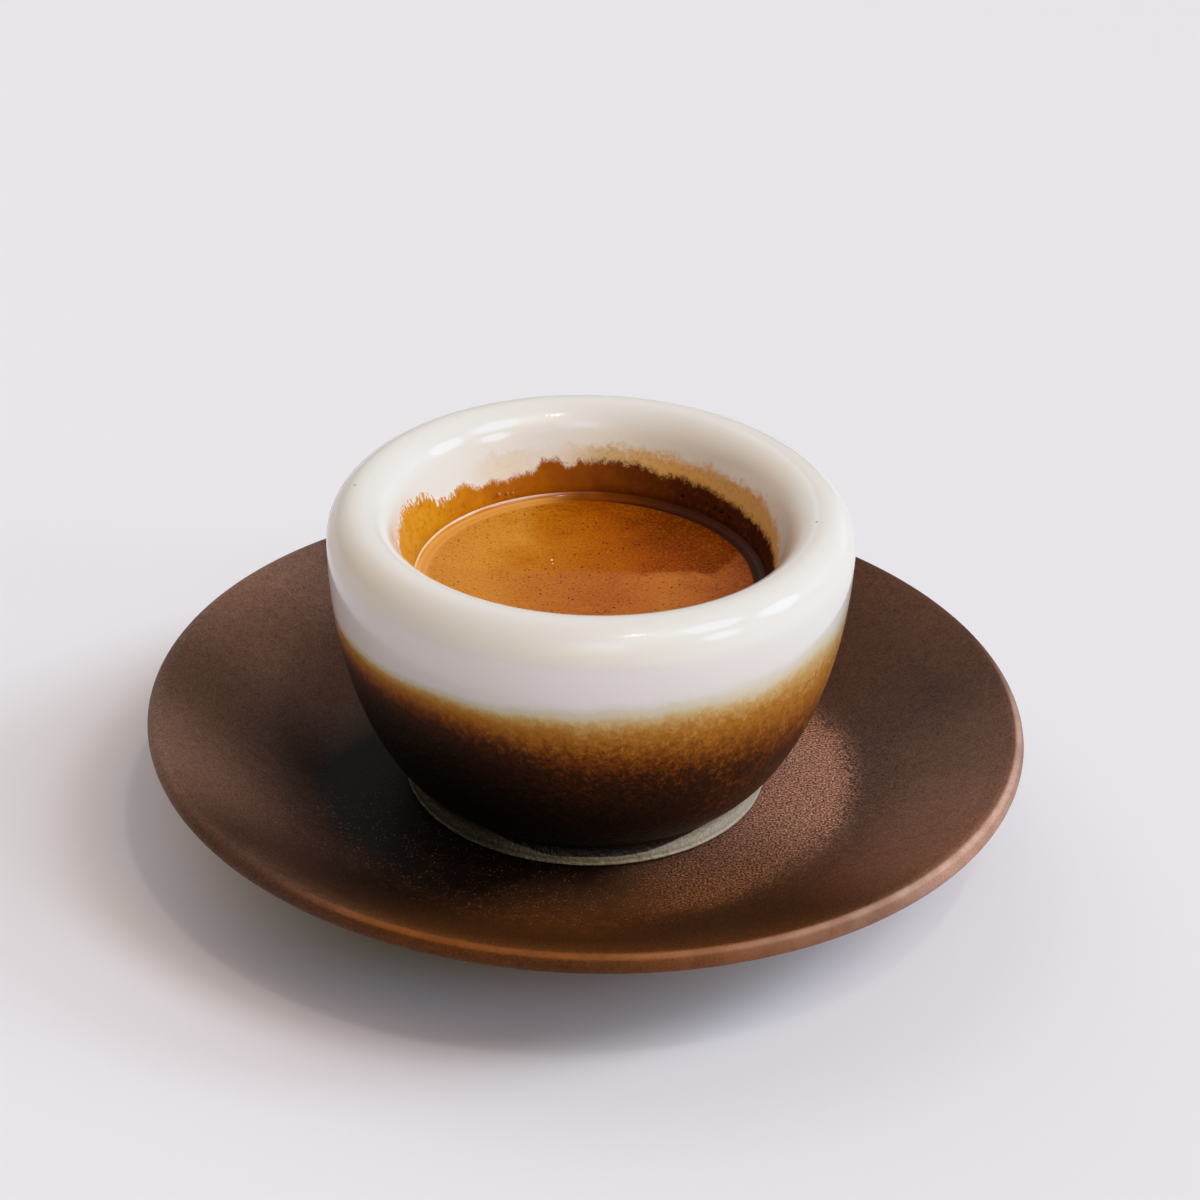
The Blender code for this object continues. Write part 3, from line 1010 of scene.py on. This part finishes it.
def make_coat():
    """The thin coat of coffee on the wall, with its ragged top edge."""
    bpy.ops.object.select_all(action="DESELECT")
    bpy.ops.mesh.primitive_cylinder_add(
        vertices=COAT_SIDES, radius=1.0, depth=1.0, end_fill_type="NOTHING", location=(0.0, 0.0, 0.5)
    )
    piece = bpy.context.object
    piece.name = piece.data.name = "coffee_coat"
    bpy.ops.object.transform_apply(location=True)
    bpy.ops.object.mode_set(mode="EDIT")
    bpy.ops.mesh.select_all(action="SELECT")
    for cut in COAT_CUTS:
        bpy.ops.mesh.bisect(plane_co=(0.0, 0.0, cut), plane_no=(0.0, 0.0, 1.0))
        bpy.ops.mesh.select_all(action="SELECT")
    bpy.ops.object.mode_set(mode="OBJECT")
    for layer in list(piece.data.uv_layers):
        piece.data.uv_layers.remove(layer)
    places = piece.data.uv_layers.new(name=COAT_MAP)
    depths = []
    for vertex in piece.data.vertices:
        azimuth = math.atan2(vertex.co.y, vertex.co.x)
        share = vertex.co.z
        top = coat_height(math.degrees(azimuth)) + fray(azimuth) + COAT_MARGIN
        height = share * top
        depths.append(top - height)
        radius = wall_radius(height) - COAT_THICKNESS * (1.0 - COAT_THINNING * share ** 3)
        vertex.co = (
            radius * math.cos(azimuth) * MM,
            radius * math.sin(azimuth) * MM,
            (CUP_BASE + LEVEL + height) * MM,
        )
    for loop in piece.data.loops:
        places.data[loop.index].uv = (0.5, depths[loop.vertex_index])
    bpy.ops.object.mode_set(mode="EDIT")
    bpy.ops.mesh.select_all(action="SELECT")
    bpy.ops.mesh.normals_make_consistent(inside=True)
    bpy.ops.object.mode_set(mode="OBJECT")
    wall = piece.modifiers.new("Wall", "SOLIDIFY")
    wall.thickness = COAT_WALL * MM
    wall.offset = -1.0
    bpy.ops.object.modifier_apply(modifier=wall.name)
    bpy.ops.object.shade_smooth()
    return dress(piece, coffee_coat(), "espresso_crema")


def make_bubbles():
    """Small bubbles left on the coat, and two on the crema painted pale as glints."""
    domes = []
    for x, y, height, size in BUBBLES:
        bpy.ops.object.select_all(action="DESELECT")
        reach = math.hypot(x, y)
        inwards = min(1.0, (wall_radius(height) - BUBBLE_STAND) / reach) if reach > ON_THE_WALL else 1.0
        bpy.ops.mesh.primitive_uv_sphere_add(
            segments=BUBBLE_SIDES, ring_count=BUBBLE_RINGS, radius=size * MM,
            location=(x * inwards * MM, y * inwards * MM, (CUP_BASE + LEVEL + height) * MM),
        )
        domes.append(bpy.context.object)
    for dome in domes:
        dome.select_set(True)
    bpy.context.view_layer.objects.active = domes[0]
    bpy.ops.object.join()
    piece = bpy.context.object
    piece.name = piece.data.name = "foam_bubbles"
    bpy.ops.object.transform_apply(location=True)
    bpy.ops.object.shade_smooth()
    return dress(piece, bubble_skin(), "espresso_crema")


# Room


def make_floor():
    """The plain pale table, which is part of the room."""
    bpy.ops.object.select_all(action="DESELECT")
    bpy.ops.mesh.primitive_plane_add(size=TABLE_SIDE, location=(0.0, 0.0, 0.0))
    floor = bpy.context.object
    floor.name = "table"
    floor.data.materials.append(Finish("pale_table").surface(TABLE_COLOUR, TABLE_ROUGHNESS))


def towards(azimuth, elevation):
    """The direction of a light: azimuth from +Y towards +X, both in degrees."""
    a, e = math.radians(azimuth), math.radians(elevation)
    return Vector((math.sin(a) * math.cos(e), math.cos(a) * math.cos(e), math.sin(e)))


def make_lamp():
    """A small far lamp, whose hard-edged shadow lies inside the soft ones."""
    lamp = bpy.data.lights.new("far_lamp", "SUN")
    lamp.energy = LAMP_STRENGTH
    lamp.angle = LAMP_WIDTH
    light = bpy.data.objects.new("far_lamp", lamp)
    direction = towards(LAMP_AZIMUTH, LAMP_ELEVATION)
    light.location = direction
    light.rotation_euler = direction.to_track_quat("Z", "Y").to_euler()
    bpy.context.scene.collection.objects.link(light)


def make_room():
    """Soft light from all round, with cool windows at the right."""
    world = bpy.data.worlds.new("room")
    bpy.context.scene.world = world
    world.use_nodes = True
    tree = world.node_tree
    direction = tree.nodes.new("ShaderNodeTexCoord").outputs["Generated"]

    def facing(azimuth, elevation):
        """How nearly a direction is that of a light: 1 straight towards it."""
        node = tree.nodes.new("ShaderNodeVectorMath")
        node.operation = "DOT_PRODUCT"
        tree.links.new(direction, node.inputs[0])
        node.inputs[1].default_value = towards(azimuth, elevation)
        return node.outputs["Value"]

    def tinted(amount, colour):
        """A light's colour, by how much of it there is."""
        node = tree.nodes.new("ShaderNodeVectorMath")
        node.operation = "SCALE"
        node.inputs[0].default_value = colour
        tree.links.new(amount, node.inputs["Scale"])
        return node.outputs[0]

    lights = []
    for azimuth, elevation, focus, colour in ROOM_LOBES:
        sharp = tree.nodes.new("ShaderNodeMath")
        sharp.operation = "MULTIPLY_ADD"
        tree.links.new(facing(azimuth, elevation), sharp.inputs[0])
        sharp.inputs[1].default_value = focus
        sharp.inputs[2].default_value = -focus
        lobe = tree.nodes.new("ShaderNodeMath")
        lobe.operation = "EXPONENT"
        tree.links.new(sharp.outputs[0], lobe.inputs[0])
        lights.append(tinted(lobe.outputs[0], colour))
    for azimuth, elevation, width, colour in WINDOWS:
        drop = 1.0 - math.cos(math.radians(width))
        pane = tree.nodes.new("ShaderNodeMapRange")
        pane.interpolation_type = "SMOOTHSTEP"
        tree.links.new(facing(azimuth, elevation), pane.inputs["Value"])
        pane.inputs["From Min"].default_value = 1.0 - drop * (1.0 + WINDOW_EDGE)
        pane.inputs["From Max"].default_value = 1.0 - drop * (1.0 - WINDOW_EDGE)
        lights.append(tinted(pane.outputs[0], colour))
    total = lights[0]
    for light in lights[1:]:
        both = tree.nodes.new("ShaderNodeVectorMath")
        both.operation = "ADD"
        tree.links.new(total, both.inputs[0])
        tree.links.new(light, both.inputs[1])
        total = both.outputs[0]
    tree.links.new(total, tree.nodes["Background"].inputs["Color"])


def make_camera():
    """The photograph's view: aimed so that the dish's centre falls on its own place in the picture."""
    lens = bpy.data.cameras.new("camera")
    lens.sensor_width = SENSOR_WIDTH
    lens.lens = FOCAL_PIXELS * SENSOR_WIDTH / PICTURE_SIDE
    lens.clip_start = CAMERA_NEAR
    lens.clip_end = CAMERA_FAR
    camera = bpy.data.objects.new("camera", lens)
    turn = Matrix.Rotation(math.pi / 2.0 - CAMERA_ELEVATION, 3, "X") @ Matrix.Rotation(CAMERA_ROLL, 3, "Z")
    pixel = CAMERA_DISTANCE / FOCAL_PIXELS
    across = (AIM_PIXEL[0] - PICTURE_SIDE / 2.0) * pixel
    up = (PICTURE_SIDE / 2.0 - AIM_PIXEL[1]) * pixel
    place = Vector((0.0, 0.0, AIM_HEIGHT)) - turn @ Vector((across, up, -CAMERA_DISTANCE))
    camera.matrix_world = Matrix.Translation(place) @ turn.to_4x4()
    bpy.context.scene.collection.objects.link(camera)
    bpy.context.scene.camera = camera


def set_tones():
    """Plain tones, with the brightest ones eased as on film."""
    view = bpy.context.scene.view_settings
    view.view_transform = "Standard"
    view.use_curve_mapping = True
    curve = view.curve_mapping.curves[TONE_CURVE]
    curve.points[1].location = TONE_POINTS[0]
    for place in TONE_POINTS[1:]:
        curve.points.new(*place)
    view.curve_mapping.extend = "EXTRAPOLATED"
    view.curve_mapping.update()


make_camera()
make_saucer()
make_cup()
make_drink()
make_wet_edge()
make_coat()
make_bubbles()
make_floor()
make_room()
make_lamp()
set_tones()
